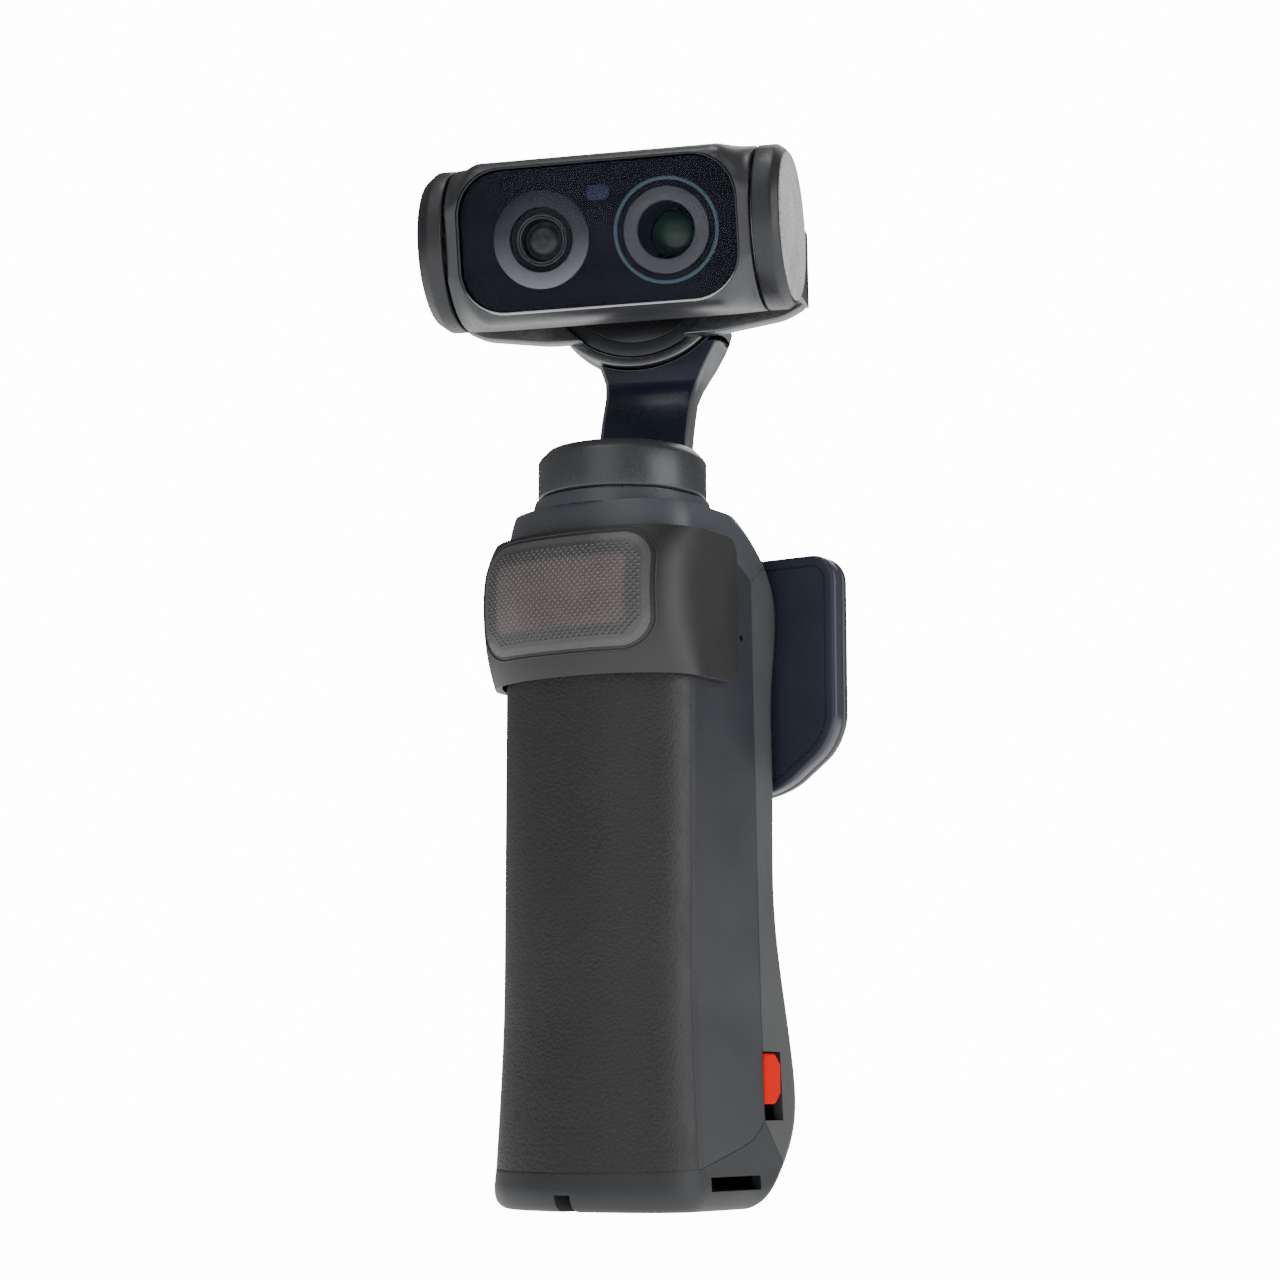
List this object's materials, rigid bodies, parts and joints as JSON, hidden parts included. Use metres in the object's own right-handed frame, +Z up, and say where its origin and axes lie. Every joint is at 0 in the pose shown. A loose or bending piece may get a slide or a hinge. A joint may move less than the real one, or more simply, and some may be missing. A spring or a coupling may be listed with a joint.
{
  "type": "gimbal camera",
  "caption": "Handheld gimbal camera: a leather-fronted grip with swivel screen and clip-on light carries a motor-driven arm and a tilting lens head.",
  "frame": {"origin": "mouth of the tripod thread in the grip base", "axes": "+Z up along the grip, -Y out of the leather front with the light, +Y out of the screen, +X to the right of someone who faces the leather front"},
  "size_m": [0.0587, 0.0476, 0.1533],
  "materials": {
    "shell_dark": "fine satin",
    "shell_base": "fine satin",
    "leather": "fine grain",
    "metal_dark": "satin",
    "metal_grey": "satin",
    "brass": "turned",
    "steel": "brushed",
    "circuit": "solder mask",
    "chip": "matte",
    "cell": "wrapped",
    "red": "satin",
    "key_dark": "satin",
    "black_gloss": "gloss",
    "clear_glass": "coated",
    "screen_face": "gloss",
    "lens_green": "coated",
    "lens_blue": "coated",
    "ring_grey": "satin",
    "ring_blue": "satin",
    "light_shell": "semi matt",
    "diffuser": "patterned",
    "led": "phosphor",
    "coil": "enamelled wire",
    "gold": "plated",
    "disc_grey": "granular"
  },
  "bodies": {
    "handle": {"front_shell": "shell_dark", "leather_grip": "leather", "rear_shell": "shell_base", "base_cap": "shell_base", "shoulder_cap": "shell_dark", "tripod_insert": "brass", "charging_socket": "steel", "chassis": "metal_grey", "main_board": "circuit", "board_chips": "chip", "card_socket": "steel", "battery": "cell", "microphones": "steel", "speaker": "chip", "frame_screws": "steel", "contact_pads": "gold", "pan_stator": "coil", "pan_bearings": "steel", "button_board": "circuit", "pivot_bush": "key_dark"},
    "pan_arm": {"pan_ring": "metal_dark", "pan_rotor": "steel", "neck_arm": "metal_dark", "neck_cover": "black_gloss", "roll_motor_disc": "black_gloss", "roll_stator": "coil", "roll_bearing": "steel"},
    "roll_yoke": {"yoke_bracket": "metal_dark", "left_cap": "metal_dark", "right_cap": "metal_dark", "right_cap_trim": "disc_grey", "tilt_stator": "coil", "tilt_bearing": "steel"},
    "camera_head": {"head_front_shell": "metal_dark", "head_rear_shell": "metal_dark", "panel_rim": "metal_grey", "front_glass": "clear_glass", "glass_mask": "black_gloss", "left_lens_ring": "ring_grey", "right_lens_ring": "ring_blue", "lens_barrels": "chip", "left_lens_element": "lens_blue", "right_lens_element": "lens_green", "focus_window": "black_gloss", "sensor_boards": "circuit", "tilt_rotor": "steel", "tilt_pin": "steel"},
    "screen": {"screen_cover": "shell_dark", "screen_frame": "shell_dark", "screen_glass": "screen_face", "display_panel": "black_gloss", "screen_pivot": "steel"},
    "fill_light": {"light_housing": "light_shell", "light_diffuser": "diffuser", "light_board": "led", "light_pins": "gold"},
    "latch": {"red_latch": "red"},
    "record_key": {"record_button": "red"},
    "stick_ring": {"stick_cross": "steel"},
    "stick": {"stick_cap": "key_dark"}
  },
  "joints": [
    {"name": "pan", "type": "hinge", "parent": "handle", "child": "pan_arm", "pos_m": [0, 0, 0.1], "axis": [0, 0, 1], "range_deg": [-255, 38]},
    {"name": "roll", "type": "hinge", "parent": "pan_arm", "child": "roll_yoke", "pos_m": [-0.00038, -0.00014, 0.1383], "axis": [-0.342, 0.9397, 0], "range_deg": [-29.3, 30.7]},
    {"name": "tilt", "type": "hinge", "parent": "roll_yoke", "child": "camera_head", "pos_m": [0.0013, -0.00474, 0.1383], "axis": [0.9396, 0.342, 0.0122], "range_deg": [-74, 60]},
    {"name": "screen_swivel", "type": "hinge", "parent": "handle", "child": "screen", "pos_m": [0, 0.0184, 0.076], "axis": [0, 1, 0], "range_deg": [0, 90]},
    {"name": "light_pull", "type": "slide", "parent": "handle", "child": "fill_light", "axis": [0, -1, 0], "range_m": [0, 0.012]},
    {"name": "latch_slide", "type": "slide", "parent": "handle", "child": "latch", "axis": [0, 0, -1], "range_m": [0, 0.002]},
    {"name": "record_press", "type": "slide", "parent": "handle", "child": "record_key", "axis": [0, -1, 0], "range_m": [0, 0.0006], "stiffness_N_per_m": 300, "springref_m": -0.001},
    {"name": "stick_up_down", "type": "hinge", "parent": "handle", "child": "stick_ring", "pos_m": [-0.0066, 0.01405, 0.043], "axis": [1, 0, 0], "range_deg": [-8, 8], "stiffness_Nm_per_rad": 0.005},
    {"name": "stick_side", "type": "hinge", "parent": "stick_ring", "child": "stick", "pos_m": [-0.0066, 0.01405, 0.043], "axis": [0, 0, 1], "range_deg": [-8, 8], "stiffness_Nm_per_rad": 0.005}
  ]
}
